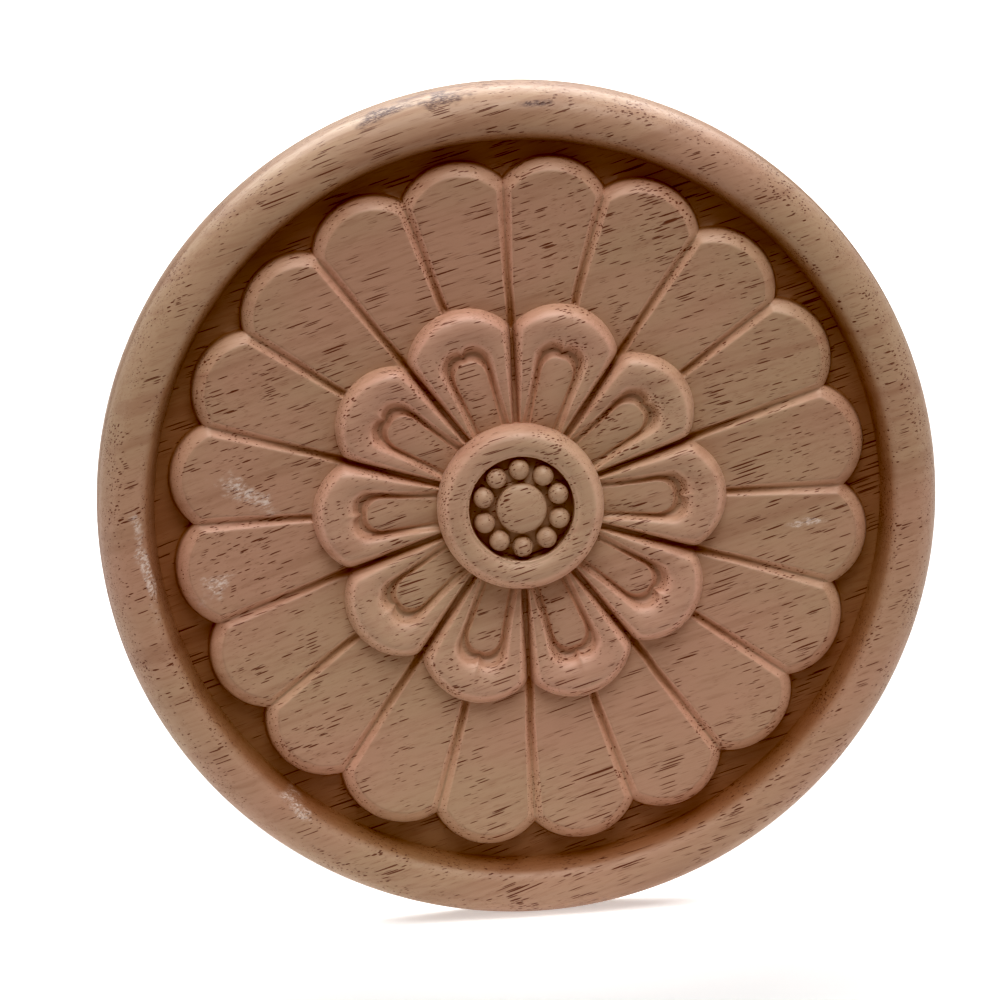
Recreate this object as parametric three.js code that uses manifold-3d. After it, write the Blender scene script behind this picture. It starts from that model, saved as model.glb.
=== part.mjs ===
// Round carved wood applique: one board, turned to a disc with a rolled rim, then carved with a flower of
// two rows of petals round a beaded eye. Its flat back is glued or pinned to furniture or a wall.
// Millimetres. The work is laid out flat, back down and carving up, and the last lines stand it upright:
// the origin is the middle of the flat back, +Z is up and the carving faces -Y.

import * as THREE from "three";
import { mergeVertices } from "three/addons/utils/BufferGeometryUtils.js";
import Module from "manifold-3d";

// Board and rim
const discRadius = 75;
const boardThickness = 14; // the ring of the eye keeps all of it
const fieldHeight = 6.3; // flat ground between the rim and the flower, above the back
const backArris = 0.6; // small chamfer round the back edge
const rimSideHeight = 3.5; // upright edge below the roll
const rimHeight = 13;
const rimWidth = 10.2; // outer edge to inner foot
const rimCrestInset = 5.6; // outer edge to the top of the roll
const rimSegments = 96;
const rollSteps = 4; // facets on each side of the roll

// Outer row of petals
const outerCount = 20;
const outerGap = 2; // ground left between the petal tips and the rim
const outerTipRounding = 11.6; // arc of a tip, measured at its foot
const outerTipHeight = 10.8;
const outerWallRun = 2.2; // how far a petal's edge leans out between its top and the ground
const outerGrooveWidth = 1.4;
const outerDishAngle = 6.5; // degrees that the row rises towards the rim
const outerRootRadius = 26; // hidden under the inner row
const petalArcSteps = 10; // facets round a petal's tip

// Inner row of petals
const innerCount = 10;
const innerTipRadius = 37;
const innerTipRounding = 10.8;
const innerTipHeight = 11.3;
const innerRiseAngle = 6; // degrees that the row rises outwards
const innerRootRadius = 11.5; // hidden under the ring
const innerRollWidth = 2.6; // rounded edge of a petal, seen from above
const innerRollDepth = 3.5; // and how far it falls
const innerGap = 0.7; // slit between neighbours, at the foot of their rolled edges

// Tongue in each inner petal, left standing by a cut that runs round it. The cut's outer edge has two lobes
// at its end, with a small point between them.
const tongueTipRadius = 27.4;
const tongueTipHalfWidth = 2.8;
const tongueRootHalfWidth = 1.7;
const tongueCutWidth = 1.25;
const tongueCutEnd = 2.1; // its width past the tongue's tip, on the lobes
const tongueCutDepth = 1.4;
const tongueCutLean = 0.3; // how far each side of the cut leans out on its way up
const lobeRounding = 2.3;
const tongueArcSteps = 5;

// Beaded eye
const ringOuterRadius = 15.1;
const ringWidth = 5.6;
const ringCrestInset = 3;
const ringFootHeight = 10.8; // where the ring's side turns upright
const ringInnerDrop = 1.1; // from its crest to its inner edge
const ringSegments = 48;
const ringSteps = 3;
const cupFloorHeight = 10;
const buttonRadius = 4.6;
const buttonHeight = 13.9;
const buttonCrown = 1.3;
const beadCount = 10;
const beadRadius = 1.85;
const beadTopHeight = 13.8;
const beadSegments = 12;

const embed = 2; // how far a joined piece runs into the one below it
const woodColour = 0xa9806a;

const wasm = await Module();
wasm.setup();

// A closed geometry as a solid that can be joined and cut
function solid(geometry) {
  const bare = geometry.clone();
  bare.deleteAttribute("normal");
  bare.deleteAttribute("uv");
  const merged = mergeVertices(bare, 1e-4);
  return new wasm.Manifold(
    new wasm.Mesh({
      numProp: 3,
      vertProperties: new Float32Array(merged.attributes.position.array),
      triVerts: new Uint32Array(merged.index.array),
    }),
  );
}

function geometryOf(manifold) {
  const mesh = manifold.getMesh();
  return new THREE.BufferGeometry()
    .setAttribute("position", new THREE.BufferAttribute(mesh.vertProperties, mesh.numProp))
    .setIndex(new THREE.BufferAttribute(mesh.triVerts, 1));
}

const joined = (solids) => solids.reduce((all, next) => all.add(next));

// A profile of [radius, height] points, turned about the upright axis
function turned(profile, segments) {
  const points = profile.map(([radius, height]) => new THREE.Vector2(radius, height));
  return new THREE.LatheGeometry(points, segments).rotateX(Math.PI / 2);
}

// A quarter of an ellipse as [radius, height] points, from one angle to the other
function quarterRoll(centre, halfWidth, base, height, fromAngle, toAngle, steps) {
  return Array.from({ length: steps + 1 }, (_, i) => {
    const angle = fromAngle + ((toAngle - fromAngle) * i) / steps;
    return [centre + halfWidth * Math.cos(angle), base + height * Math.sin(angle)];
  });
}

const aroundAxis = (count, make) =>
  Array.from({ length: count }, (_, i) => make((Math.PI * 2 * i) / count));

// Disc with its rolled rim and the flat ground inside it
function turnedDisc() {
  const crestRadius = discRadius - rimCrestInset;
  const outerRoll = quarterRoll(
    crestRadius, rimCrestInset, rimSideHeight, rimHeight - rimSideHeight, 0, Math.PI / 2, rollSteps,
  );
  const innerWidth = rimWidth - rimCrestInset;
  const innerRoll = quarterRoll(
    crestRadius, innerWidth, fieldHeight, rimHeight - fieldHeight, Math.PI / 2, Math.PI, rollSteps,
  );
  return turned(
    [
      [0, 0],
      [discRadius - backArris, 0],
      [discRadius, backArris],
      ...outerRoll,
      ...innerRoll.slice(1),
      [0, fieldHeight],
    ],
    rimSegments,
  );
}

const arcPoints = (centreX, centreY, radius, fromAngle, toAngle, steps) =>
  new THREE.ArcCurve(centreX, centreY, radius, fromAngle, toAngle, false).getPoints(steps);

// Outline of one petal, pointing along +X from the middle of the flower: a wedge with a rounded tip.
// Its sides stand `spread` outside the lines that halve the space between neighbours.
function petalOutline({ count, rootRadius, tipRadius, tipRounding, spread }) {
  const half = Math.PI / count;
  const tipCentre = tipRadius - tipRounding;
  const alongSide =
    tipCentre * Math.cos(half) +
    Math.sqrt(Math.max(tipRounding ** 2 - (spread + tipCentre * Math.sin(half)) ** 2, 0));
  const sidePoint = (distance, side) =>
    new THREE.Vector2(
      distance * Math.cos(half) - spread * Math.sin(half),
      side * (distance * Math.sin(half) + spread * Math.cos(half)),
    );
  const corner = sidePoint(alongSide, 1);
  const sweep = Math.atan2(corner.y, corner.x - tipCentre);
  return new THREE.Shape([
    sidePoint(rootRadius, 1),
    sidePoint(rootRadius, -1),
    ...arcPoints(tipCentre, 0, tipRounding, -sweep, sweep, petalArcSteps),
  ]);
}

// A petal's outline as a block whose upper edge leans or rolls in, its top face `topHeight` high at the tip
// and falling towards the root by `rise` degrees
function petalBlock({ outline, tipRadius, edgeRun, edgeDrop, edgeSteps, topHeight, rise }) {
  const block = new THREE.ExtrudeGeometry(outline, {
    depth: embed,
    bevelEnabled: true,
    bevelSize: edgeRun,
    bevelOffset: -edgeRun,
    bevelThickness: edgeDrop,
    bevelSegments: edgeSteps,
  });
  block.translate(edgeRun - tipRadius, 0, -embed - edgeDrop);
  block.rotateY(-THREE.MathUtils.degToRad(rise));
  block.translate(tipRadius - edgeRun, 0, topHeight);
  return block;
}

// The outer row: flat petals that rise to the rim, parted by V grooves where their leaning edges cross
function outerRow() {
  const tipRadius = discRadius - rimWidth - outerGap;
  const outline = petalOutline({
    count: outerCount,
    rootRadius: outerRootRadius,
    tipRadius,
    tipRounding: outerTipRounding,
    spread: outerWallRun - outerGrooveWidth / 2,
  });
  return aroundAxis(outerCount, (turn) =>
    solid(
      petalBlock({
        outline,
        tipRadius,
        edgeRun: outerWallRun,
        edgeDrop: outerTipHeight - fieldHeight,
        edgeSteps: 1,
        topHeight: outerTipHeight,
        rise: outerDishAngle,
      }).rotateZ(turn + Math.PI / outerCount),
    ),
  );
}

// A drop from the root to its round tip
function tongueOutline() {
  const tipCentre = tongueTipRadius - tongueTipHalfWidth;
  return [
    new THREE.Vector2(innerRootRadius, tongueRootHalfWidth),
    new THREE.Vector2(innerRootRadius, -tongueRootHalfWidth),
    ...arcPoints(tipCentre, 0, tongueTipHalfWidth, -Math.PI / 2, Math.PI / 2, tongueArcSteps),
  ];
}

// The outer edge of the cut round a tongue, ending in two lobes that meet on the petal's middle line
function cutOutline() {
  const lobeOffset = tongueTipHalfWidth + tongueCutWidth - lobeRounding;
  const lobeCentre = tongueTipRadius + tongueCutEnd - lobeRounding;
  const meeting = Math.asin(lobeOffset / lobeRounding);
  const rootRadius = innerRootRadius - tongueCutWidth;
  const rootHalfWidth = tongueRootHalfWidth + tongueCutWidth;
  return [
    new THREE.Vector2(rootRadius, rootHalfWidth),
    new THREE.Vector2(rootRadius, -rootHalfWidth),
    ...arcPoints(lobeCentre, -lobeOffset, lobeRounding, -Math.PI / 2, meeting, tongueArcSteps),
    ...arcPoints(lobeCentre, lobeOffset, lobeRounding, -meeting, Math.PI / 2, tongueArcSteps).slice(1),
  ];
}

// The cut itself, laid to the petal's slope
function tongueCut() {
  const outline = new THREE.Shape(cutOutline());
  outline.holes.push(new THREE.Path(tongueOutline()));
  const cut = new THREE.ExtrudeGeometry(outline, {
    depth: innerRollDepth,
    bevelEnabled: true,
    bevelSize: tongueCutLean,
    bevelOffset: -tongueCutLean,
    bevelThickness: tongueCutDepth,
    bevelSegments: 1,
  });
  const crestRadius = innerTipRadius - innerRollWidth;
  cut.translate(-crestRadius, 0, 0);
  cut.rotateY(-THREE.MathUtils.degToRad(innerRiseAngle));
  cut.translate(crestRadius, 0, innerTipHeight);
  return cut;
}

// The inner row: fat petals with rolled edges, each with its tongue
function innerRow() {
  const outline = petalOutline({
    count: innerCount,
    rootRadius: innerRootRadius,
    tipRadius: innerTipRadius,
    tipRounding: innerTipRounding,
    spread: -innerGap / 2,
  });
  const petal = petalBlock({
    outline,
    tipRadius: innerTipRadius,
    edgeRun: innerRollWidth,
    edgeDrop: innerRollDepth,
    edgeSteps: 3,
    topHeight: innerTipHeight,
    rise: innerRiseAngle,
  });
  const cut = tongueCut();
  return aroundAxis(innerCount, (turn) => {
    const place = turn + Math.PI / innerCount;
    return solid(petal.clone().rotateZ(place)).subtract(solid(cut.clone().rotateZ(place)));
  });
}

// The ring and the floor of the cup inside it
function ringAndCup() {
  const crestRadius = ringOuterRadius - ringCrestInset;
  const innerRadius = ringOuterRadius - ringWidth;
  const outerRoll = quarterRoll(
    crestRadius, ringCrestInset, ringFootHeight, boardThickness - ringFootHeight, 0, Math.PI / 2, ringSteps,
  );
  const innerRoll = quarterRoll(
    crestRadius, crestRadius - innerRadius, boardThickness - ringInnerDrop, ringInnerDrop,
    Math.PI / 2, Math.PI, ringSteps,
  );
  return turned(
    [
      [0, fieldHeight - embed],
      [ringOuterRadius, fieldHeight - embed],
      ...outerRoll,
      ...innerRoll.slice(1),
      [innerRadius, cupFloorHeight],
      [0, cupFloorHeight],
    ],
    ringSegments,
  );
}

// A stem that stands in the cup's floor, with a domed top
function domedStem(radius, topHeight, domeHeight, segments) {
  const dome = quarterRoll(0, radius, topHeight - domeHeight, domeHeight, 0, Math.PI / 2, ringSteps);
  return turned(
    [[0, cupFloorHeight - embed], [radius, cupFloorHeight - embed], ...dome.slice(0, -1), [0, topHeight]],
    segments,
  );
}

// Beads half way between the button and the cup's wall
function beads() {
  const circleRadius = (ringOuterRadius - ringWidth + buttonRadius) / 2;
  const bead = domedStem(beadRadius, beadTopHeight, beadRadius, beadSegments).translate(0, circleRadius, 0);
  return aroundAxis(beadCount, (turn) => solid(bead.clone().rotateZ(turn)));
}

// The board's round blank above the back's skin, which keeps every petal's hidden underside inside the disc
function stock() {
  const depth = boardThickness - embed;
  return new THREE.CylinderGeometry(discRadius, discRadius, depth, rimSegments)
    .rotateX(Math.PI / 2)
    .translate(0, 0, embed + depth / 2);
}

// Petal rows start with a groove at twelve o'clock, as the beads do with a bead
const rows = joined([...outerRow(), ...innerRow()].map((petal) => petal.rotate([0, 0, 90])));
const button = domedStem(buttonRadius, buttonHeight, buttonCrown, ringSegments / 2);
const flower = joined([rows, solid(ringAndCup()), solid(button), ...beads()]).intersect(solid(stock()));
const carving = solid(turnedDisc()).add(flower);

const rosette = new THREE.Mesh(
  geometryOf(carving),
  new THREE.MeshStandardMaterial({ color: woodColour, roughness: 0.62, metalness: 0 }),
);
rosette.name = "carved_rosette";
rosette.rotation.x = Math.PI / 2;

const applique = new THREE.Group();
applique.add(rosette);

export default applique;
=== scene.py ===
import math

import bpy
import numpy as np
from mathutils import Matrix, Vector


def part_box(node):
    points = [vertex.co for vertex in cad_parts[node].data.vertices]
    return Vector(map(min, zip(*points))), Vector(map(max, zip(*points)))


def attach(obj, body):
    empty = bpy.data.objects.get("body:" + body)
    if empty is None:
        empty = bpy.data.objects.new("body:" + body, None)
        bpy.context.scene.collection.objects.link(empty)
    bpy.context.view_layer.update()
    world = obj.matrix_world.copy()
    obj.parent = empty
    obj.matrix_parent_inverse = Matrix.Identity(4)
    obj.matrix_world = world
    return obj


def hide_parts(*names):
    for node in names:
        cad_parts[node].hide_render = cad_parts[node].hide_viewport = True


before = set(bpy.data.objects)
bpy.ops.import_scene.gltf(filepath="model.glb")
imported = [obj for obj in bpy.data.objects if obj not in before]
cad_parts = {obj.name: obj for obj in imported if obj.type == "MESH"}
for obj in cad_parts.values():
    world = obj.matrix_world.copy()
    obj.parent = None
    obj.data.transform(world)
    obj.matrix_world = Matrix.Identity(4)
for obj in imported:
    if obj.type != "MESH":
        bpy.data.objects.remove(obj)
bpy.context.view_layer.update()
bpy.ops.object.select_all(action="DESELECT")

# The wood is shaped in millimetres and brought to metres at the end.
# A height is counted from the flat back towards the viewer, who is on the -Y side.
mm = 0.001
low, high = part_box("carved_rosette")
discRadius = (high.x - low.x) / 2 / mm
boardThickness = (high.y - low.y) / mm


def smoothMax(a, b, softness):
    return 0.5 * (a + b + np.sqrt((a - b) ** 2 + softness ** 2))


def smoothMin(a, b, softness):
    return -smoothMax(-a, -b, softness)


def smoothStep(start, end, value):
    t = np.clip((value - start) / (end - start), 0, 1)
    return t * t * (3 - 2 * t)


def mix(a, b, share):
    return a + (b - a) * share


def quarter(value):  # height of a quarter circle of radius 1 at this distance from its centre
    return np.sqrt(np.clip(1 - value ** 2, 0, 1))


def turnOnLathe(name, points, steps):  # a closed solid round the Y axis, from (radius, height) points
    bpy.ops.mesh.primitive_plane_add(size=1, location=(0, 0, 0))
    blank = bpy.context.object
    blank.name = name
    bpy.ops.object.mode_set(mode="EDIT")
    bpy.ops.mesh.merge(type="CENTER")
    bpy.ops.transform.translate(value=(points[0][0], -points[0][1], 0))
    for (radius, height), (nextRadius, nextHeight) in zip(points, points[1:]):
        step = (nextRadius - radius, height - nextHeight, 0)
        bpy.ops.mesh.extrude_vertices_move(TRANSFORM_OT_translate={"value": step})
    bpy.ops.mesh.select_all(action="SELECT")
    bpy.ops.mesh.spin(steps=steps, angle=2 * math.pi, center=(0, 0, 0), axis=(0, 1, 0))
    bpy.ops.mesh.select_all(action="SELECT")
    bpy.ops.mesh.remove_doubles(threshold=1e-3)
    bpy.ops.mesh.normals_make_consistent(inside=False)
    bpy.ops.mesh.select_all(action="DESELECT")
    bpy.ops.object.mode_set(mode="OBJECT")
    return blank


def joinSolids(base, added):  # two solids that overlap become one
    union = base.modifiers.new("union", "BOOLEAN")
    union.operation = "UNION"
    union.solver = "EXACT"
    union.object = added
    bpy.ops.object.select_all(action="DESELECT")
    bpy.context.view_layer.objects.active = base
    bpy.ops.object.modifier_apply(modifier=union.name)
    bpy.data.objects.remove(added)


# The board: a disc with a rolled rim round sunk ground
rim = {
    "width": 10.2,  # outer edge to the inner foot
    "crestInset": 5.6,  # outer edge to the top of the roll
    "height": 13.0,
    "fullness": 2.4,  # of the roll: 2 is a circle
    "footCove": 0.36,  # hollow at the inner foot, of the inner side's width
    "coveEnd": 1.12,  # past the foot, so that the hollow meets the ground at a slant
    "sideHeight": 3.5,  # upright edge under the roll
    "arris": 0.6,  # small chamfer round the back
    "groundHeight": 6.3,
}

outerRow = {
    "count": 20,
    "tipRadius": 62.1,  # outline of a tip
    "tipRounding": 11.0,
    "tipHeight": 10.9,
    "rise": 0.1,  # slope up towards the rim
    "sag": 0.3,  # how hollow that slope is
    "innerRadius": 37.0,  # where the inner row covers it
    "bevelWidth": 2.2,  # each tip has a rolled edge that starts at a crease
    "bevelDepth": 2.4,
    "bevelFlat": 0.7,  # how much of the depth is a plain slope
    "wallSlope": 5.0,
    "wallWidth": 0.5,
    "creaseSoftness": 0.06,  # of the rolled edge's width
    "edgeSoftness": 0.1,  # of a groove's width
    "grooveHalfWidth": (0.9, 1.6),  # at the inner row and at the tips
    "grooveDepth": (1.5, 1.4),
    "grooveRounding": 0.25,  # of the bottom of a groove
}

innerRow = {
    "count": 10,
    "tipRadius": 37.0,  # foot of a tip
    "tipRounding": 10.8,
    "crestRadius": 33.3,
    "crestHeight": 11.5,
    "rise": 0.105,
    "crestShare": 0.44,  # how far in the crest of the rolled lip lies, of the lip's width
    "outerDrop": 3.8,  # from the crest down to the outline
    "outerDropAtSlit": 2.9,
    "innerDropAtTip": 2.4,  # from the crest down to the groove round the tongue
    "innerDropAtSide": 1.0,
    "slitHalfWidth": 0.32,
    "slitFloor": 8.9,
    "slitFall": 0.048,  # for each millimetre outwards
    "slitEnd": 31.5,
    "innerRoll": 0.92,  # how much of a quarter round the lip's inner side has
    "outerDropGrows": (26, 33),  # radii from which and to which it grows
    "innerDropGrows": (20, 29),
    "cornerSoftness": 0.5,  # where a tip's outline meets a slit
    "wallSlope": 3.0,
    "reach": 40.0,  # there is no inner row past this radius
}

tongue = {
    "rootRadius": 11.5,
    "rootHalfWidth": 1.95,
    "tipCentre": 24.5,
    "tipHalfWidth": 3.2,
    "height": 8.35,  # of its middle line, carried in to the axis
    "rise": 0.06,
    "crown": 0.45,  # how domed it is across
    "grooveDepth": 1.15,
    "grooveDepthAtRoot": 0.3,
    "lobeRoot": 0.3,  # the groove's outline is two long drops, one on each side of the middle line
    "lobeOffset": 1.2,
    "lobeCentre": 26.85,
    "lobeRadius": 2.72,
    "notch": 0.4,  # small point between the two lobes
    "notchWidth": 0.45,
    "notchGrows": (26, 28),
    "grooveGrows": (13, 27),
    "grooveShape": 1.2,  # 1 is a round groove, more is a narrower one
    "grooveClimb": (0.2, 0.8),  # where the groove climbs to the lip, of its width
    "overlap": 0.3,  # how far the groove eats into the tongue and the lip
}

handWork = {  # what a carver's hand leaves uneven
    "seed": 11,
    "strayAngle": 0.0045,
    "strayTip": 0.2,
    "outerRowFrom": (36, 40),  # radii between which each row's share begins or ends
    "outerRowTo": (62, 64.6),
    "outerTipsFrom": (44, 56),
    "innerRowFrom": (13.8, 22),
    "innerRowTo": (35.5, 39),
    "innerTipsFrom": (20, 31),
    "wave": 0.024,
    "waveCount": 6,
    "wavePitch": (9, 26),
    "waveTo": (70, 74),
}

meeting = 0.35  # how softly one carved surface runs into the next


def sectorAngle(angle, count):  # counted from the middle of the petal that the angle falls in
    width = 2 * math.pi / count
    return np.mod(angle, width) - width / 2


def tipOutline(angle, row, grown=0.0):  # radius of the row's scalloped outline
    local = sectorAngle(angle, row["count"])
    centre = row["tipRadius"] - row["tipRounding"]
    rounding = row["tipRounding"] + grown
    return centre * np.cos(local) + np.sqrt(rounding ** 2 - (centre * np.sin(local)) ** 2)


def bevel(distance, width):  # 1 in the middle of a groove, 0 at its side
    return smoothMax(1 - distance / width, 0, outerRow["edgeSoftness"])


def outerPetalHeight(radius, angle):
    row = outerRow
    local = sectorAngle(angle, row["count"])
    along, across = radius * np.cos(local), radius * np.sin(local)
    toGroove = radius * np.sin(math.pi / row["count"] - np.abs(local))
    out = np.clip((radius - row["innerRadius"]) / (row["tipRadius"] - row["innerRadius"]), 0, 1)
    top = row["tipHeight"] - row["rise"] * (row["tipRadius"] - radius) - row["sag"] * 4 * out * (1 - out)
    grooveWidth = mix(*row["grooveHalfWidth"], out)
    groove = mix(*row["grooveDepth"], out) * bevel(np.hypot(toGroove, row["grooveRounding"]), grooveWidth)
    tipCentre = row["tipRadius"] - row["tipRounding"]
    beyond = np.hypot(np.maximum(along - tipCentre, 0), across) - row["tipRounding"]
    into = np.minimum(smoothMax(1 + beyond / row["bevelWidth"], 0, row["creaseSoftness"]), 1)
    tip = row["bevelDepth"] * mix(1 - quarter(into), into, row["bevelFlat"])
    return top - np.maximum(groove, tip) - row["wallSlope"] * np.maximum(beyond, 0)


def toTongueEdge(along, across):  # a long drop, narrow at its root
    length = tongue["tipCentre"] - tongue["rootRadius"]
    lean = (tongue["rootHalfWidth"] - tongue["tipHalfWidth"]) / length
    upright = math.sqrt(1 - lean * lean)
    x, y = np.abs(across), along - tongue["rootRadius"]
    side = x * upright + y * lean - tongue["rootHalfWidth"]
    tip = np.hypot(x, y - length) - tongue["tipHalfWidth"]
    return np.where(y * upright - x * lean > upright * length, tip, side)


def lobeMiddle(along):
    lean = (tongue["lobeOffset"] - tongue["lobeRoot"]) / (tongue["lobeCentre"] - tongue["rootRadius"])
    return tongue["lobeRoot"] + lean * (along - tongue["rootRadius"])


def toGrooveOutline(along, across):
    beside = np.abs(across) - lobeMiddle(along)
    beyond = np.maximum(along - tongue["lobeCentre"], 0)
    notch = tongue["notch"] * np.exp(-((across / tongue["notchWidth"]) ** 2))
    notch = notch * smoothStep(*tongue["notchGrows"], along)
    return np.hypot(beside, beyond) - tongue["lobeRadius"] + notch


def innerPetalHeight(radius, angle):
    row = innerRow
    local = sectorAngle(angle, row["count"])
    along, across = radius * np.cos(local), radius * np.sin(local)
    toSlit = radius * np.sin(math.pi / row["count"] - np.abs(local)) - row["slitHalfWidth"]
    tipCentre = row["tipRadius"] - row["tipRounding"]
    toTip = row["tipRounding"] - np.hypot(np.maximum(along - tipCentre, 0), across)
    toTongue = toTongueEdge(along, across)
    toOutline = toGrooveOutline(along, across)
    inside = smoothMin(toTip, toSlit, row["cornerSoftness"])
    share = np.clip(inside / np.maximum(inside + np.maximum(toOutline, 0), 0.01), 0, 1)
    crest = row["crestHeight"] - row["rise"] * np.maximum(row["crestRadius"] - radius, 0)
    outward = quarter(np.clip(1 - share / row["crestShare"], 0, 1))
    inner = np.clip((share - row["crestShare"]) / (1 - row["crestShare"]), 0, 1)
    inward = quarter(row["innerRoll"] * inner)
    innerGrown = smoothStep(*row["innerDropGrows"], along)
    outerGrown = smoothStep(*row["outerDropGrows"], along)
    innerDrop = mix(row["innerDropAtSide"], row["innerDropAtTip"], innerGrown)
    outerDrop = mix(row["outerDropAtSlit"], row["outerDrop"], outerGrown)
    lip = crest - outerDrop * (1 - outward) - innerDrop * (1 - inward)
    lip = lip + row["wallSlope"] * np.minimum(inside, 0)

    dome = tongue["crown"] * (1 - np.clip(-toTongue / tongue["tipHalfWidth"], 0, 1)) ** 2
    tongueTop = tongue["height"] + tongue["rise"] * radius - dome
    overlap = tongue["overlap"]
    grooveWidth = np.maximum(toTongue - toOutline + 2 * overlap, overlap)
    inGroove = np.clip((toTongue + overlap) / grooveWidth, 0, 1)
    surface = mix(tongueTop, lip, smoothStep(*tongue["grooveClimb"], inGroove))
    depthGrown = smoothStep(*tongue["grooveGrows"], along)
    depth = mix(tongue["grooveDepthAtRoot"], tongue["grooveDepth"], depthGrown)
    surface = surface - depth * np.sin(math.pi * inGroove) ** tongue["grooveShape"]
    pastSlit = np.maximum(radius - row["slitEnd"], 0)
    slit = row["slitFloor"] - row["slitFall"] * radius - row["wallSlope"] * pastSlit
    return smoothMax(surface, slit, 0.3)


def fullRound(value):  # a quarter round, a little squarer than a circle
    return np.clip(1 - np.abs(np.clip(value, 0, 1)) ** rim["fullness"], 0, 1) ** (1 / rim["fullness"])


def rimHeight(radius):
    crestRadius = discRadius - rim["crestInset"]
    inward = (crestRadius - radius) / (rim["width"] - rim["crestInset"])
    inner = fullRound(inward) * (1 - smoothStep(1 - rim["footCove"], rim["coveEnd"], inward))
    outer = fullRound((radius - crestRadius) / rim["crestInset"])
    return np.where(
        radius < crestRadius,
        mix(rim["groundHeight"], rim["height"], inner),
        mix(rim["sideHeight"], rim["height"], outer),
    )


def carvedHeight(radius, angle):
    flower = outerPetalHeight(radius, angle)
    bothRows = smoothMax(flower, innerPetalHeight(radius, angle), meeting)
    flower = np.where(radius < innerRow["reach"], bothRows, flower)
    ground = smoothMax(flower, rim["groundHeight"], meeting)
    return np.where(radius > discRadius - rim["width"] - 0.01, rimHeight(radius), ground)


# The blank is turned with more rings than a plain disc needs, and each ring is then drawn along
# the outlines of the petals, so that the edges of the carving run along edges of the mesh.
columnsPerPetal = 36
columnCount = columnsPerPetal * outerRow["count"]
grooveColumns = [0, 0.14, 0.3, 0.55, 0.85, 1.15, 1.4, 1.65, 1.95]  # from the middle of a groove
blankFace = 8.0  # height of the blank's face before it is carved


def lobeEndCurve(angle):  # runs past the ends of the grooves round the tongues
    outline = tipOutline(angle, innerRow)
    cusp = tipOutline(np.array(0.0), innerRow)
    return mix(28.0, 30.2, (outline - cusp) / (innerRow["tipRadius"] - cusp))


ringCurves = [  # curve, rings up to it from the one before, how they are spaced
    (lambda angle: 13.8 + 0 * angle, 1, "even"),  # inside this the eye covers the board
    (lambda angle: 26.0 + 0 * angle, 24, "even"),
    (lobeEndCurve, 14, "even"),
    (lambda angle: tipOutline(angle, innerRow) - 3.6, 5, "even"),
    (lambda angle: tipOutline(angle, innerRow) + 0.1, 13, "slowEnd"),
    (lambda angle: 40.0 + 0 * angle, 7, "even"),
    (lambda angle: tipOutline(angle, outerRow, -outerRow["bevelWidth"] - 0.3), 12, "even"),
    (lambda angle: tipOutline(angle, outerRow, -outerRow["bevelWidth"] + 0.3), 3, "even"),
    (lambda angle: tipOutline(angle, outerRow), 7, "slowEnd"),
    (lambda angle: tipOutline(angle, outerRow, outerRow["wallWidth"]), 4, "even"),
    (lambda angle: discRadius - rim["width"] + 0 * angle, 3, "even"),
    (lambda angle: discRadius - rim["crestInset"] + 0 * angle, 10, "even"),
    (lambda angle: discRadius + 0 * angle, 12, "slowEnd"),
]


def ringList():  # one (from curve, to curve, share of the way) for each ring
    rings = []
    previous = lambda angle: 0 * angle
    for curve, count, spacing in ringCurves:
        for step in range(1, count + 1):
            share = step / count
            if spacing == "slowEnd":
                share = math.sin(share * math.pi / 2)
            rings.append((previous, curve, share))
        previous = curve
    return rings


def ringRadius(ring, angle):
    start, end, share = ring
    return mix(start(angle), end(angle), share)


def outerColumnAngle(column, radius):  # columns crowd together at the grooves
    place = np.mod(column, columnsPerPetal)
    fromGroove = np.minimum(place, columnsPerPetal - place)
    side = np.where(place <= columnsPerPetal / 2, 1, -1)
    groove = (column // columnsPerPetal + (side < 0)) * 2 * math.pi / outerRow["count"]
    last = len(grooveColumns) - 1
    close = np.interp(fromGroove, range(last + 1), grooveColumns) / radius
    spread = (fromGroove - last) / (columnsPerPetal / 2 - last)
    wide = mix(grooveColumns[last] / radius, math.pi / outerRow["count"], spread)
    return groove + side * np.where(fromGroove <= last, close, wide)


def innerColumnAngle(column, radius):  # and here at the slits and along the groove round the tongue
    perPetal = columnsPerPetal * 2
    place = np.mod(column, perPetal)
    fromSlit = np.minimum(place, perPetal - place)
    side = np.where(place <= perPetal / 2, 1, -1)
    slit = (column // perPetal + (side < 0)) * 2 * math.pi / innerRow["count"]
    half = math.pi / innerRow["count"]
    reach = np.clip(radius, 12, 27)
    tongueShare = (reach - tongue["rootRadius"]) / (tongue["tipCentre"] - tongue["rootRadius"])
    tongueSide = mix(tongue["rootHalfWidth"], tongue["tipHalfWidth"], np.clip(tongueShare, 0, 1))
    grooveSide = lobeMiddle(reach) + tongue["lobeRadius"]
    stops = [  # column counted from the slit, angle from the slit
        (0, 0 * radius),
        (2, 0.16 / radius),
        (7, 0.66 / radius),
        (14, half - grooveSide / radius),
        (22, half - tongueSide / radius),
        (columnsPerPetal, half + 0 * radius),
    ]
    offset = 0 * radius
    for (start, startAngle), (end, endAngle) in zip(stops, stops[1:]):
        share = (fromSlit - start) / (end - start)
        between = (fromSlit >= start) & (fromSlit <= end)
        offset = np.where(between, mix(startAngle, endAngle, share), offset)
    return slit + side * offset


def columnAngle(column, radius):  # by the inner row, then by the outer row, then even
    radius = np.maximum(radius, 13)
    even = column * 2 * math.pi / columnCount
    inner = innerColumnAngle(column, radius)
    outer = outerColumnAngle(column, radius)
    byRows = mix(inner, outer, smoothStep(31, 37, radius))
    return mix(byRows, even, smoothStep(59, 65, radius))


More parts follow.
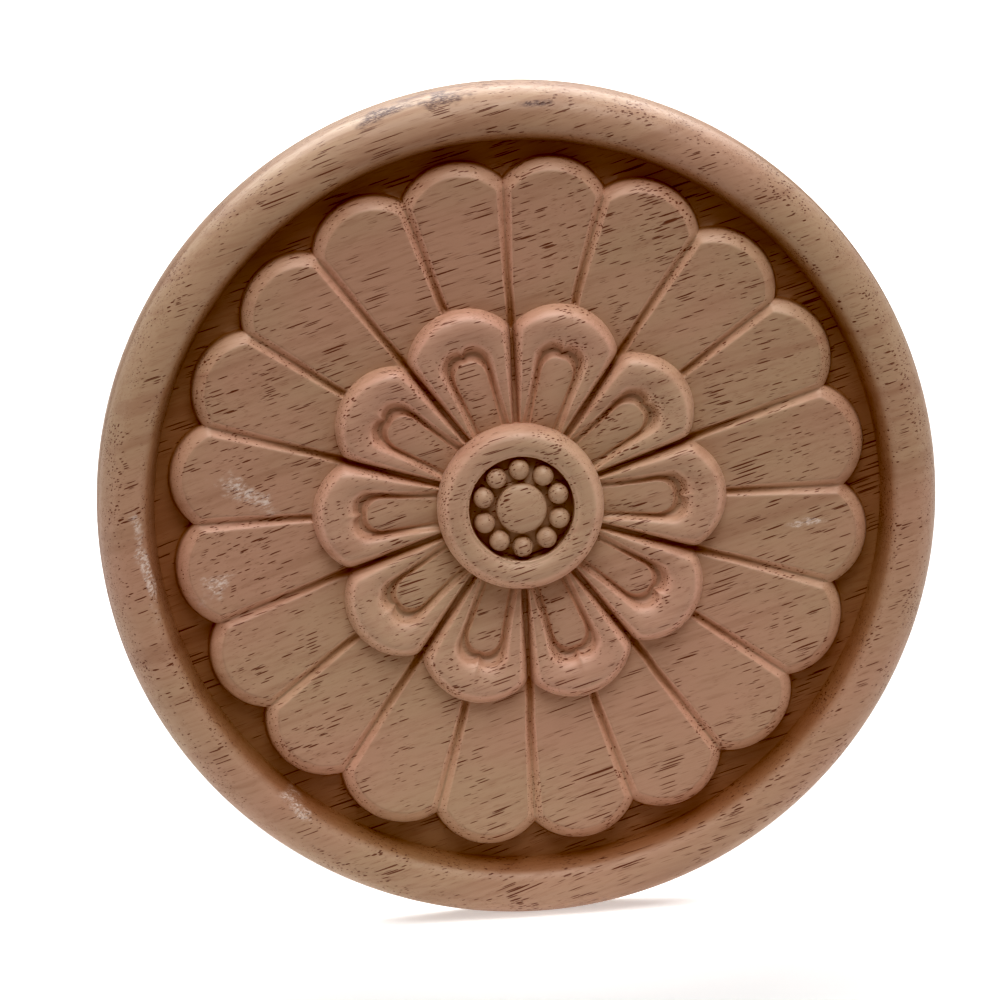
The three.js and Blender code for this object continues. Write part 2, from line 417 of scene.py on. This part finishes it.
def aroundTheRow(values, angle):  # one value for each petal, run together smoothly
    place = np.mod(angle / (2 * math.pi), 1) * len(values)
    left = np.floor(place).astype(int)
    right = (left + 1) % len(values)
    return mix(values[left % len(values)], values[right], smoothStep(0, 1, place - left))


def carveBoard(blank, rings, nominalRadii):
    mesh = blank.data
    place = np.empty(len(mesh.vertices) * 3)
    mesh.vertices.foreach_get("co", place)
    place = place.reshape(-1, 3)
    nominal = np.hypot(place[:, 0], place[:, 2])
    front = (-place[:, 1] > rim["sideHeight"] + 0.1) & (nominal > 1)
    column = np.round(np.arctan2(place[front, 0], place[front, 2]) / (2 * math.pi) * columnCount)
    column = np.mod(column, columnCount)
    middles = (nominalRadii[1:] + nominalRadii[:-1]) / 2
    ringIndex = np.searchsorted(middles, nominal[front])
    angle = columnAngle(column, nominal[front])
    radius = np.zeros_like(angle)
    for index, ring in enumerate(rings):
        chosen = ringIndex == index
        radius[chosen] = ringRadius(ring, angle[chosen])
    height = carvedHeight(radius, angle)

    hand = np.random.RandomState(handWork["seed"])
    halfOuter, halfInner = math.pi / outerRow["count"], math.pi / innerRow["count"]
    isOuter = smoothStep(*handWork["outerRowFrom"], radius)
    isOuter = isOuter * (1 - smoothStep(*handWork["outerRowTo"], radius))
    isInner = 1 - smoothStep(*handWork["innerRowTo"], radius)
    nearTip = isOuter * smoothStep(*handWork["outerTipsFrom"], radius)
    nearInnerTip = isInner * smoothStep(*handWork["innerTipsFrom"], radius)
    outerStray = aroundTheRow(hand.uniform(-1, 1, outerRow["count"]), angle)
    innerStray = aroundTheRow(hand.uniform(-1, 1, innerRow["count"]), angle)
    tipStray = aroundTheRow(hand.uniform(-1, 1, outerRow["count"]), angle + halfOuter)
    lipStray = aroundTheRow(hand.uniform(-1, 1, innerRow["count"]), angle + halfInner)
    clearOfEye = smoothStep(*handWork["innerRowFrom"], radius)
    stray = isOuter * outerStray + isInner * clearOfEye * innerStray
    angle = angle + handWork["strayAngle"] * stray
    radius = radius + handWork["strayTip"] * (nearTip * tipStray + nearInnerTip * lipStray)
    across, up = radius * np.sin(angle), radius * np.cos(angle)
    onTop = 1 - smoothStep(*handWork["waveTo"], radius)
    for _ in range(handWork["waveCount"]):
        direction = hand.uniform(0, math.pi)
        pitch = hand.uniform(*handWork["wavePitch"])
        start = hand.uniform(0, 6.28)
        travel = across * math.cos(direction) + up * math.sin(direction)
        height = height + handWork["wave"] * onTop * np.sin(travel / pitch * 2 * math.pi + start)
    place[front] = np.stack([across, -height, up], axis=1)
    mesh.vertices.foreach_set("co", place.ravel())
    mesh.update()


rings = ringList()
evenAngles = np.arange(360) * 2 * math.pi / 360
nominalRadii = np.array([ringRadius(ring, evenAngles).mean() for ring in rings])
boardProfile = [(0, blankFace)]
boardProfile += [(float(radius), blankFace) for radius in nominalRadii[:-1]]
boardProfile += [
    (discRadius, rim["sideHeight"]),
    (discRadius, rim["arris"]),
    (discRadius - rim["arris"], 0),
    (0, 0),
]
rosette = turnOnLathe("rosette", boardProfile, columnCount)
carveBoard(rosette, rings, nominalRadii)
print("board turned and carved:", len(rosette.data.polygons), "faces")


# The eye: a rounded ring with a cup in it, a domed button and a circle of beads
eye = {
    "outerRadius": 14.85,
    "footHeight": 10.2,
    "crestInset": 3.3,
    "innerRadius": 9.35,
    "innerDrop": 0.7,
    "innerEdge": 0.45,
    "cupFloor": 10.2,
    "cupRise": 1.2,  # the cup is shallower beside the button
    "rootHeight": 5.0,  # how far down into the board it runs
    "buttonRadius": 4.5,
    "buttonHeight": 13.9,
    "buttonCrown": 1.4,
    "steps": 144,
}

bead = {
    "count": 10,
    "radius": 1.87,
    "circle": 7.0,
    "top": 13.8,
    "rootDepth": 3.0,
    "strayAngle": 0.014,
}


def eyeProfile():
    crestRadius = eye["outerRadius"] - eye["crestInset"]
    shoulder = eye["buttonHeight"] - eye["buttonCrown"]
    points = []
    for step in range(11):
        turn = step / 10 * math.pi / 2
        height = shoulder + eye["buttonCrown"] * math.cos(turn)
        points.append((eye["buttonRadius"] * math.sin(turn), height))
    points.append((eye["buttonRadius"], eye["cupFloor"] + eye["cupRise"] + 0.2))
    points.append((eye["buttonRadius"] + 0.2, eye["cupFloor"] + eye["cupRise"]))
    points.append((bead["circle"], eye["cupFloor"] + eye["cupRise"] * 0.7))
    points.append((eye["innerRadius"] - 0.3, eye["cupFloor"]))
    points.append((eye["innerRadius"], eye["cupFloor"] + 0.3))
    for step in range(7):
        turn = step / 6 * math.pi / 2
        edge = boardThickness - eye["innerDrop"] - eye["innerEdge"]
        inner = eye["innerRadius"] + eye["innerEdge"] * (1 - math.cos(turn))
        points.append((inner, edge + eye["innerEdge"] * math.sin(turn)))
    for step in range(1, 7):
        share = step / 6
        inner = mix(eye["innerRadius"] + eye["innerEdge"], crestRadius, share)
        points.append((inner, boardThickness - eye["innerDrop"] * (1 - share) ** 1.6))
    for step in range(1, 11):
        turn = step / 10 * math.pi / 2
        drop = (boardThickness - eye["footHeight"]) * (1 - math.cos(turn))
        points.append((crestRadius + eye["crestInset"] * math.sin(turn), boardThickness - drop))
    points.append((eye["outerRadius"], eye["rootHeight"]))
    points.append((0, eye["rootHeight"]))
    return points


def makeBead(name, angle):  # the upper half of a ball on a short stem
    bpy.ops.mesh.primitive_uv_sphere_add(
        segments=24, ring_count=16, radius=bead["radius"], location=(0, 0, 0), rotation=(math.pi / 2, 0, 0)
    )
    ball = bpy.context.object
    ball.name = name
    bpy.ops.object.transform_apply(location=True, rotation=True, scale=True)
    bpy.ops.object.mode_set(mode="EDIT")
    bpy.ops.mesh.select_all(action="SELECT")
    bpy.ops.mesh.bisect(
        plane_co=(0, 0, 0), plane_no=(0, 1, 0), use_fill=True, clear_outer=True, clear_inner=False
    )
    bpy.ops.mesh.extrude_region_move(TRANSFORM_OT_translate={"value": (0, bead["rootDepth"], 0)})
    bpy.ops.mesh.select_all(action="SELECT")
    bpy.ops.mesh.remove_doubles(threshold=1e-3)
    bpy.ops.mesh.normals_make_consistent(inside=False)
    centre = (
        bead["circle"] * math.sin(angle),
        bead["radius"] - bead["top"],
        bead["circle"] * math.cos(angle),
    )
    bpy.ops.transform.translate(value=centre)
    bpy.ops.mesh.select_all(action="DESELECT")
    bpy.ops.object.mode_set(mode="OBJECT")
    return ball


eyeSolid = turnOnLathe("eyeSolid", eyeProfile(), eye["steps"])
beadHand = np.random.RandomState(handWork["seed"] + 1)
beads = []
for index in range(bead["count"]):
    stray = beadHand.uniform(-bead["strayAngle"], bead["strayAngle"])
    beads.append(makeBead(f"bead{index}", index * 2 * math.pi / bead["count"] + stray))
bpy.ops.object.select_all(action="DESELECT")
for ball in beads:
    ball.select_set(True)
bpy.context.view_layer.objects.active = beads[0]
bpy.ops.object.join()
joinSolids(eyeSolid, beads[0])
joinSolids(rosette, eyeSolid)
print("eye and beads joined on:", len(rosette.data.polygons), "faces")

rosette.data.transform(Matrix.Scale(mm, 4))
bpy.ops.object.select_all(action="DESELECT")
rosette.select_set(True)
bpy.context.view_layer.objects.active = rosette
bpy.ops.object.shade_smooth_by_angle(angle=math.radians(45))


# The wood: reddish light brown with open pores that run a little uphill to the right
wood = {
    "grainAngle": 16.0,  # degrees above level
    "bend": 0.004,  # how far the grain strays
    "lightColour": (0.43, 0.316, 0.226, 1),
    "pinkColour": (0.447, 0.296, 0.224, 1),
    "darkColour": (0.33, 0.207, 0.148, 1),
    "poreColour": (0.135, 0.05, 0.03, 1),
    "tornColour": (0.64, 0.55, 0.5, 1),
    "scuffColour": (0.09, 0.05, 0.042, 1),
    "recessShadeColour": (0.7, 0.58, 0.46, 1),  # painted shade: what the sunk ground and the rim's foot are darkened by
    "tiltHighlightColour": (1.25, 1.22, 1.25, 1),  # painted highlight: what the tilted faces of the flower are lightened by what the high parts in the middle are lightened by
    "highColour": (1.1, 1.1, 1.13, 1),  # as are its high parts
    "roughness": 0.52,
    "pores": {  # length and width in metres, shift, smallest and largest size, softness, depth of colour
        "fine": (0.004, 0.0002, (1, 8, 4), (-0.1, 0.36), 0.08, 0.3),
        "short": (0.0105, 0.00036, (0, 0, 0), (-0.03, 0.34), 0.045, 0.82),
        "long": (0.022, 0.0006, (3, 5, 7), (-0.08, 0.245), 0.03, 0.92),
    },
    "torn": [  # where the surface is torn: X, Z, length, width in millimetres, degrees above level
        (-48.5, 5.0, 15, 4.5, -33),
        (-54.6, -10.8, 9, 5.5, 52),
        (-66.9, -5.8, 24, 3.0, 101),
        (52.0, -6.2, 9, 1.6, 8),
        (-42.6, -51.2, 9, 3.5, -50),
    ],
    "scuffs": [
        (-19.5, 71.3, 14, 2.6, 17),
        (-10.5, 73.0, 12, 3.0, 8),
        (5.0, 71.8, 7, 1.6, 0),
    ],
}


def addNode(tree, kind, **settings):
    node = tree.nodes.new(kind)
    for key, value in settings.items():
        setattr(node, key, value)
    return node


def woodMaterial():
    material = bpy.data.materials.new("carvedWood")
    material.use_nodes = True
    tree = material.node_tree
    tree.nodes.clear()
    link = tree.links.new

    def math2(operation, first, second):
        node = addNode(tree, "ShaderNodeMath", operation=operation)
        for socket, value in zip(node.inputs, (first, second)):
            if isinstance(value, (int, float)):
                socket.default_value = value
            else:
                link(value, socket)
        return node.outputs[0]

    def mapRange(value, fromMin, fromMax, toMin, toMax, kind="SMOOTHSTEP"):
        node = addNode(tree, "ShaderNodeMapRange", interpolation_type=kind)
        link(value, node.inputs["Value"])
        node.inputs["From Min"].default_value = fromMin
        node.inputs["From Max"].default_value = fromMax
        node.inputs["To Min"].default_value = toMin
        node.inputs["To Max"].default_value = toMax
        return node.outputs["Result"]

    def stretch(vector, scale, location=(0, 0, 0), rotation=(0, 0, 0)):
        node = addNode(tree, "ShaderNodeMapping")
        link(vector, node.inputs["Vector"])
        node.inputs["Scale"].default_value = scale
        node.inputs["Location"].default_value = location
        node.inputs["Rotation"].default_value = rotation
        return node.outputs["Vector"]

    def noise(vector, scale=1.0, detail=2.0, roughness=0.5):
        node = addNode(tree, "ShaderNodeTexNoise")
        link(vector, node.inputs["Vector"])
        node.inputs["Scale"].default_value = scale
        node.inputs["Detail"].default_value = detail
        node.inputs["Roughness"].default_value = roughness
        return node

    def blend(factor, first, second, kind="MIX"):
        node = addNode(tree, "ShaderNodeMix", data_type="RGBA", blend_type=kind)
        for socket, value in zip((node.inputs[0], node.inputs[6], node.inputs[7]), (factor, first, second)):
            if isinstance(value, (float, tuple)):
                socket.default_value = value
            else:
                link(value, socket)
        return node.outputs[2]

    coordinates = addNode(tree, "ShaderNodeTexCoord").outputs["Object"]
    turned = stretch(coordinates, (1, 1, 1), rotation=(0, math.radians(wood["grainAngle"]), 0))
    drift = noise(turned, scale=14, detail=1)
    centred = addNode(tree, "ShaderNodeVectorMath", operation="SUBTRACT")
    link(drift.outputs["Color"], centred.inputs[0])
    centred.inputs[1].default_value = (0.5, 0.5, 0.5)
    scaled = addNode(tree, "ShaderNodeVectorMath", operation="SCALE")
    link(centred.outputs[0], scaled.inputs[0])
    scaled.inputs["Scale"].default_value = wood["bend"]
    bent = addNode(tree, "ShaderNodeVectorMath", operation="ADD")
    link(turned, bent.inputs[0])
    link(scaled.outputs[0], bent.inputs[1])
    along = bent.outputs[0]  # X runs with the grain from here on

    # pores: long thin cells, each with its own size, thicker in some bands than in others
    def poreLayer(length, width, place, sizes, softness):
        cells = addNode(tree, "ShaderNodeTexVoronoi", feature="F1")
        link(stretch(along, (1 / length, 1 / width, 1 / width), location=place), cells.inputs["Vector"])
        cells.inputs["Scale"].default_value = 1
        cellColour = addNode(tree, "ShaderNodeSeparateColor")
        link(cells.outputs["Color"], cellColour.inputs[0])
        size = mapRange(cellColour.outputs[0], 0.0, 1.0, *sizes, "LINEAR")
        size = math2("MULTIPLY", size, bandSize)
        return mapRange(math2("SUBTRACT", size, cells.outputs["Distance"]), -softness, softness, 0, 1)

    bands = noise(stretch(along, (12, 170, 170)), detail=2, roughness=0.6).outputs["Fac"]
    bandSize = mapRange(bands, 0.35, 0.65, 0.7, 1.15)
    pores = {}
    for name, (*shape, depth) in wood["pores"].items():
        pores[name] = (poreLayer(*shape), depth)

    # colour: broad pink and tan drifts, growth bands, fine streaks, then the pores
    broad = noise(stretch(along, (14, 30, 30)), detail=3, roughness=0.55).outputs["Fac"]
    colour = blend(mapRange(broad, 0.35, 0.65, 0, 1), wood["pinkColour"], wood["lightColour"])
    growth = stretch(along, (9, 60, 260), location=(2, 0, 1))
    ringBands = noise(growth, detail=3, roughness=0.6).outputs["Fac"]
    colour = blend(mapRange(ringBands, 0.48, 0.72, 0, 0.55), colour, wood["darkColour"])
    streaks = noise(stretch(along, (110, 1500, 1500)), detail=3, roughness=0.65).outputs["Fac"]
    colour = blend(mapRange(streaks, 0.45, 0.75, 0, 0.4), colour, wood["darkColour"])
    for mask, depth in pores.values():
        colour = blend(math2("MULTIPLY", mask, depth), colour, wood["poreColour"])

    # painted shade darkens the sunk ground and the rim's foot, a painted highlight lightens the flower's
    # tilted faces, high parts are paler, and some places are torn or scuffed. Y falls towards the viewer.
    groundY = -rim["groundHeight"] * mm
    petalEnds = outerRow["tipRadius"] * mm
    rimInside = (discRadius - rim["width"]) * mm
    cupSide = eye["innerRadius"] * mm
    crestY = -innerRow["crestHeight"] * mm
    sides = addNode(tree, "ShaderNodeSeparateXYZ")
    link(coordinates, sides.inputs[0])
    # painted shade on the sunk ground and up the rim's inner foot, where the carving shades itself
    sunk = mapRange(sides.outputs["Y"], groundY - 0.0022, groundY - 0.0003, 0, 1)
    fromAxis = addNode(tree, "ShaderNodeVectorMath", operation="LENGTH")
    link(stretch(coordinates, (1, 0, 1)), fromAxis.inputs[0])
    reach = fromAxis.outputs["Value"]
    rimFootShade = mapRange(reach, rimInside - 0.002, rimInside - 0.0012, 0, 1)
    rimFootShade = math2("MULTIPLY", rimFootShade, mapRange(reach, rimInside + 0.0004, rimInside + 0.003, 1, 0))
    colour = blend(math2("MAXIMUM", sunk, rimFootShade), colour, wood["recessShadeColour"], "MULTIPLY")
    # painted highlight on the flower's faces that tilt away from the front
    facing = addNode(tree, "ShaderNodeSeparateXYZ")
    link(addNode(tree, "ShaderNodeNewGeometry").outputs["Normal"], facing.inputs[0])
    tilted = mapRange(facing.outputs["Y"], -0.95, -0.78, 0, 1)
    aboveGround = mapRange(sides.outputs["Y"], groundY - 0.0022, groundY - 0.0009, 1, 0)
    tilted = math2("MULTIPLY", tilted, aboveGround)
    onFlower = mapRange(reach, petalEnds + 0.0011, petalEnds + 0.0001, 0, 1)
    pastCup = mapRange(reach, cupSide - 0.00005, cupSide + 0.00045, 0, 1)
    onPetals = math2("MULTIPLY", onFlower, pastCup)
    colour = blend(math2("MULTIPLY", tilted, onPetals), colour, wood["tiltHighlightColour"], "MULTIPLY")
    central = mapRange(reach, innerRow["reach"] * mm, (innerRow["reach"] - 5) * mm, 0, 1)
    raised = math2("MULTIPLY", central, mapRange(sides.outputs["Y"], crestY + 0.003, crestY, 0, 1))
    colour = blend(raised, colour, wood["highColour"], "MULTIPLY")
    grit = noise(stretch(along, (1000, 2400, 2400)), detail=3, roughness=0.7).outputs["Fac"]
    ragged = noise(coordinates, scale=260, detail=2, roughness=0.6).outputs["Fac"]

    def patch(x, z, length, width, angle):
        shifted = addNode(tree, "ShaderNodeVectorMath", operation="SUBTRACT")
        link(coordinates, shifted.inputs[0])
        shifted.inputs[1].default_value = (x * mm, 0, z * mm)
        turn = stretch(shifted.outputs[0], (1, 1, 1), rotation=(0, math.radians(angle), 0))
        flat = stretch(turn, (2 / length / mm, 0, 2 / width / mm))
        fromMiddle = addNode(tree, "ShaderNodeVectorMath", operation="LENGTH")
        link(flat, fromMiddle.inputs[0])
        return math2("SUBTRACT", 1.15, fromMiddle.outputs["Value"])

    def patches(places):
        mask = patch(*places[0])
        for place in places[1:]:
            mask = math2("MAXIMUM", mask, patch(*place))
        return math2("ADD", mask, math2("MULTIPLY", math2("SUBTRACT", ragged, 0.5), 2.4))

    onFront = mapRange(sides.outputs["Y"], -0.002, -0.005, 0, 1)
    torn = math2("MULTIPLY", onFront, mapRange(patches(wood["torn"]), 0.25, 1.0, 0, 1))
    torn = math2("MULTIPLY", torn, mapRange(grit, 0.43, 0.61, 0.1, 0.9))
    scuffed = math2("MULTIPLY", onFront, mapRange(patches(wood["scuffs"]), 0.2, 0.8, 0, 1))
    scuffed = math2("MULTIPLY", scuffed, mapRange(grit, 0.4, 0.58, 0.25, 0.92))
    colour = blend(torn, colour, wood["tornColour"])
    colour = blend(scuffed, colour, wood["scuffColour"])

    # relief: pores are open, and the fibres between them are a little raised
    openPores = math2("MAXIMUM", pores["short"][0], pores["long"][0])
    relief = math2("MULTIPLY", openPores, -1.0)
    relief = math2("ADD", relief, math2("MULTIPLY", streaks, 0.6))
    bump = addNode(tree, "ShaderNodeBump")
    bump.inputs["Strength"].default_value = 0.8
    bump.inputs["Distance"].default_value = 0.00012
    link(relief, bump.inputs["Height"])

    surface = addNode(tree, "ShaderNodeBsdfPrincipled")
    link(colour, surface.inputs["Base Color"])
    link(bump.outputs["Normal"], surface.inputs["Normal"])
    smoother, rougher = wood["roughness"] - 0.06, wood["roughness"] + 0.06
    link(mapRange(streaks, 0.3, 0.7, smoother, rougher, "LINEAR"), surface.inputs["Roughness"])
    surface.inputs["Specular IOR Level"].default_value = 0.75
    surface.inputs["Sheen Weight"].default_value = 0.12
    surface.inputs["Sheen Roughness"].default_value = 0.45
    output = addNode(tree, "ShaderNodeOutputMaterial")
    link(surface.outputs["BSDF"], output.inputs["Surface"])
    return material


rosette.data.materials.clear()
rosette.data.materials.append(woodMaterial())
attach(rosette, "root")
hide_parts("carved_rosette")
print("wood finished")


# Floor, light and camera
studio = {
    "floorWidth": 1.4,
    "floorFront": -0.12,  # the table ends just in front of the piece, so little light comes from the front
    "floorBack": 5.0,
    "floorColour": (0.7, 0.7, 0.7, 1),
    "floorGlow": 0.08,
    "paintedNearGlow": 0.55,  # painted light: the table glows brightest under the piece, so it shows almost no shadow there
    "nearReach": 0.09,
    "fill": 0.48,
    "backdrop": 1.2,  # how bright the background looks
    "panels": {  # place, what it points at, side, brightness
        "above": ((0.05, -0.44, 0.78), (0, 0, 0), 0.6, 5.5),
        "left": ((-0.88, -0.19, 0.08), (0, 0, 0), 0.6, 0.95),
        "right": ((0.88, -0.16, 0.08), (0, 0, 0), 0.6, 0.9),
        "overTable": ((0, 2.2, 1.6), (0, 2.2, 0), 3.0, 4.6),
    },
}

bpy.ops.mesh.primitive_plane_add(size=1, location=(0, 0, low.z))
floor = bpy.context.object
floor.name = "floor"
depth = studio["floorBack"] - studio["floorFront"]
bpy.ops.transform.resize(value=(studio["floorWidth"], depth, 1))
bpy.ops.transform.translate(value=(0, studio["floorFront"] + depth / 2, 0))
bpy.ops.object.transform_apply(location=True, rotation=True, scale=True)
paper = bpy.data.materials.new("paleFloor")
paper.use_nodes = True
paperSurface = paper.node_tree.nodes["Principled BSDF"]
paperSurface.inputs["Base Color"].default_value = studio["floorColour"]
paperSurface.inputs["Roughness"].default_value = 0.9
paperSurface.inputs["Emission Color"].default_value = (1, 1, 1, 1)
# painted light: the floor glows strongest round the piece and fades to the even glow further off
paperPlace = addNode(paper.node_tree, "ShaderNodeTexCoord")
fromPiece = addNode(paper.node_tree, "ShaderNodeVectorMath", operation="DISTANCE")
paper.node_tree.links.new(paperPlace.outputs["Object"], fromPiece.inputs[0])
fromPiece.inputs[1].default_value = (0, -0.01, low.z)
paintedFloorGlow = addNode(paper.node_tree, "ShaderNodeMapRange", interpolation_type="SMOOTHSTEP")
paper.node_tree.links.new(fromPiece.outputs["Value"], paintedFloorGlow.inputs["Value"])
paintedFloorGlow.inputs["From Min"].default_value = 0.0
paintedFloorGlow.inputs["From Max"].default_value = studio["nearReach"]
paintedFloorGlow.inputs["To Min"].default_value = studio["paintedNearGlow"]
paintedFloorGlow.inputs["To Max"].default_value = studio["floorGlow"]
paper.node_tree.links.new(paintedFloorGlow.outputs["Result"], paperSurface.inputs["Emission Strength"])
floor.data.materials.append(paper)

for name, (place, aim, size, brightness) in studio["panels"].items():
    bpy.ops.object.light_add(type="AREA", location=place)
    panel = bpy.context.object
    panel.name = name
    panel.data.shape = "SQUARE"
    panel.data.size = size
    panel.data.energy = brightness * math.pi * size * size
    panel.rotation_euler = (Vector(aim) - Vector(place)).to_track_quat("-Z", "Y").to_euler()

world = bpy.data.worlds.new("studioWorld")
bpy.context.scene.world = world
world.use_nodes = True
sky = world.node_tree.nodes["Background"]
sky.inputs["Color"].default_value = (1, 1, 1, 1)
seen = world.node_tree.nodes.new("ShaderNodeLightPath")
skyBrightness = world.node_tree.nodes.new("ShaderNodeMapRange")
world.node_tree.links.new(seen.outputs["Is Camera Ray"], skyBrightness.inputs["Value"])
skyBrightness.inputs["To Min"].default_value = studio["fill"]
skyBrightness.inputs["To Max"].default_value = studio["backdrop"]
world.node_tree.links.new(skyBrightness.outputs["Result"], sky.inputs["Strength"])

view = {
    "azimuth": -4.05,  # degrees round from straight in front
    "elevation": 10.42,
    "roll": 2.88,
    "distance": 1.0,
    "aim": (0, -0.007, 0),
    "lens": 202.2,
    "shift": (-0.0192, 0.0031),
}


def placeCamera():
    around, up = math.radians(view["azimuth"]), math.radians(view["elevation"])
    away = Vector((math.sin(around) * math.cos(up), -math.cos(around) * math.cos(up), math.sin(up)))
    rightward = Vector((0, 0, 1)).cross(away).normalized()
    upward = away.cross(rightward)
    roll = math.radians(view["roll"])
    x = rightward * math.cos(roll) - upward * math.sin(roll)
    y = rightward * math.sin(roll) + upward * math.cos(roll)
    bpy.ops.object.camera_add(location=Vector(view["aim"]) + away * view["distance"])
    camera = bpy.context.object
    camera.rotation_euler = Matrix((x, y, away)).transposed().to_euler()
    camera.data.lens = view["lens"]
    camera.data.sensor_width = 36
    camera.data.shift_x, camera.data.shift_y = view["shift"]
    return camera


bpy.context.scene.camera = placeCamera()
bpy.context.scene.view_settings.view_transform = "Standard"
bpy.context.scene.view_settings.gamma = 0.71  # the photograph's own strong contrast
bpy.context.scene.view_settings.use_curve_mapping = True
bpy.context.scene.view_settings.curve_mapping.black_level = (0.02, 0.05, 0.06)
print("studio set")
